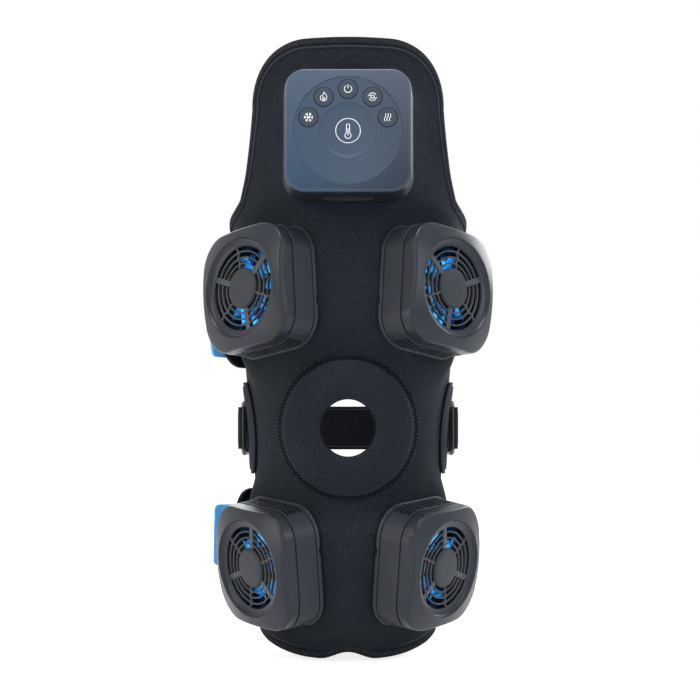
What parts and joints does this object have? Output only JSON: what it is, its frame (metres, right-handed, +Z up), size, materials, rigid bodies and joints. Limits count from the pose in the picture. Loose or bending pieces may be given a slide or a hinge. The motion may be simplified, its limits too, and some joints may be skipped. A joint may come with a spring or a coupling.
{
  "type": "hot cold therapy machine",
  "caption": "Knee wrap that heats and cools: bound neoprene panel with a kneecap hole, fan-cooled square modules, a control box with round buttons, and back straps with pull tabs.",
  "frame": {"origin": "on the leg's axis, level with the centre of the kneecap hole", "axes": "+Z up the leg towards the thigh, -Y out of the kneecap hole to the wearer's front, +X to the right as seen from the front"},
  "size_m": [0.2125, 0.228, 0.436],
  "materials": {
    "neoprene": "fine matt knit over foam rubber",
    "padding": "fine matt knit over foam",
    "webbing": "woven webbing",
    "pull_tab": "brushed bright blue fabric",
    "ring": "satin grey",
    "housing": "fine satin texture",
    "fan": "semi-matt black",
    "aluminium": "milled",
    "ceramic": "white ceramic plates",
    "control_face": "smooth satin gloss",
    "control_dish": "soft satin",
    "circuit_board": "solder mask",
    "battery": "shrink film",
    "rubber": "matt"
  },
  "bodies": {
    "wrap": {"wrap_panel": "neoprene", "knee_pad": "padding", "mid_strap": "webbing", "upper_strap": "neoprene", "lower_strap": "neoprene", "upper_pull_tab": "pull_tab", "lower_pull_tab": "pull_tab", "control_dock_plate": "housing", "control_body": "housing", "control_face": "control_face", "control_dish": "control_dish", "control_board": "circuit_board", "battery_pack": "battery", "left_ear": "neoprene", "left_ring_loop": "webbing", "right_ear": "neoprene", "right_ring_loop": "webbing", "upper_left_base_frame": "housing", "upper_left_housing": "housing", "upper_left_grille_cap": "housing", "upper_left_fan_frame": "fan", "upper_left_heat_sink": "aluminium", "upper_left_cooling_chip": "ceramic", "upper_left_cold_plate": "aluminium", "upper_right_base_frame": "housing", "upper_right_housing": "housing", "upper_right_grille_cap": "housing", "upper_right_fan_frame": "fan", "upper_right_heat_sink": "aluminium", "upper_right_cooling_chip": "ceramic", "upper_right_cold_plate": "aluminium", "lower_left_base_frame": "housing", "lower_left_housing": "housing", "lower_left_grille_cap": "housing", "lower_left_fan_frame": "fan", "lower_left_heat_sink": "aluminium", "lower_left_cooling_chip": "ceramic", "lower_left_cold_plate": "aluminium", "lower_right_base_frame": "housing", "lower_right_housing": "housing", "lower_right_grille_cap": "housing", "lower_right_fan_frame": "fan", "lower_right_heat_sink": "aluminium", "lower_right_cooling_chip": "ceramic", "lower_right_cold_plate": "aluminium"},
    "button_cold": {"button_cold": "housing"},
    "button_heat": {"button_heat": "housing"},
    "button_power": {"button_power": "housing"},
    "button_contrast": {"button_contrast": "housing"},
    "button_wave": {"button_wave": "housing"},
    "upper_left_fan": {"upper_left_fan_rotor": "fan"},
    "upper_right_fan": {"upper_right_fan_rotor": "fan"},
    "lower_left_fan": {"lower_left_fan_rotor": "fan"},
    "lower_right_fan": {"lower_right_fan_rotor": "fan"},
    "left_ring": {"left_ring": "ring"},
    "right_ring": {"right_ring": "ring"},
    "port_cover": {"port_cover": "rubber"}
  },
  "joints": [
    {"name": "button_cold_press", "type": "slide", "parent": "wrap", "child": "button_cold", "axis": [0, 0.9984, -0.0558], "range_m": [0, 0.0008], "stiffness_N_per_m": 300, "springref_m": -0.0006},
    {"name": "button_heat_press", "type": "slide", "parent": "wrap", "child": "button_heat", "axis": [0, 0.9984, -0.0558], "range_m": [0, 0.0008], "stiffness_N_per_m": 300, "springref_m": -0.0006},
    {"name": "button_power_press", "type": "slide", "parent": "wrap", "child": "button_power", "axis": [0, 0.9984, -0.0558], "range_m": [0, 0.0008], "stiffness_N_per_m": 300, "springref_m": -0.0006},
    {"name": "button_contrast_press", "type": "slide", "parent": "wrap", "child": "button_contrast", "axis": [0, 0.9984, -0.0558], "range_m": [0, 0.0008], "stiffness_N_per_m": 300, "springref_m": -0.0006},
    {"name": "button_wave_press", "type": "slide", "parent": "wrap", "child": "button_wave", "axis": [0, 0.9984, -0.0558], "range_m": [0, 0.0008], "stiffness_N_per_m": 300, "springref_m": -0.0006},
    {"name": "upper_left_fan_spin", "type": "hinge", "parent": "wrap", "child": "upper_left_fan", "pos_m": [-0.05174, -0.06757, 0.09521], "axis": [-0.7058, -0.7058, 0.061], "continuous": true},
    {"name": "upper_right_fan_spin", "type": "hinge", "parent": "wrap", "child": "upper_right_fan", "pos_m": [0.05174, -0.06757, 0.09521], "axis": [0.7058, -0.7058, 0.061], "continuous": true},
    {"name": "lower_left_fan_spin", "type": "hinge", "parent": "wrap", "child": "lower_left_fan", "pos_m": [-0.04483, -0.05389, -0.09428], "axis": [-0.7798, -0.6092, -0.1444], "continuous": true},
    {"name": "lower_right_fan_spin", "type": "hinge", "parent": "wrap", "child": "lower_right_fan", "pos_m": [0.04483, -0.05389, -0.09428], "axis": [0.7798, -0.6092, -0.1444], "continuous": true},
    {"name": "left_ring_swivel", "type": "hinge", "parent": "wrap", "child": "left_ring", "pos_m": [-0.08035, 0.02192, 0], "axis": [0, 0, 1], "range_deg": [-5, 5]},
    {"name": "right_ring_swivel", "type": "hinge", "parent": "wrap", "child": "right_ring", "pos_m": [0.08035, 0.02192, 0], "axis": [0, 0, 1], "range_deg": [-5, 5]},
    {"name": "port_cover_hinge", "type": "hinge", "parent": "wrap", "child": "port_cover", "pos_m": [0, -0.0995, 0.16096], "axis": [-1, 0, 0], "range_deg": [0, 80]}
  ]
}
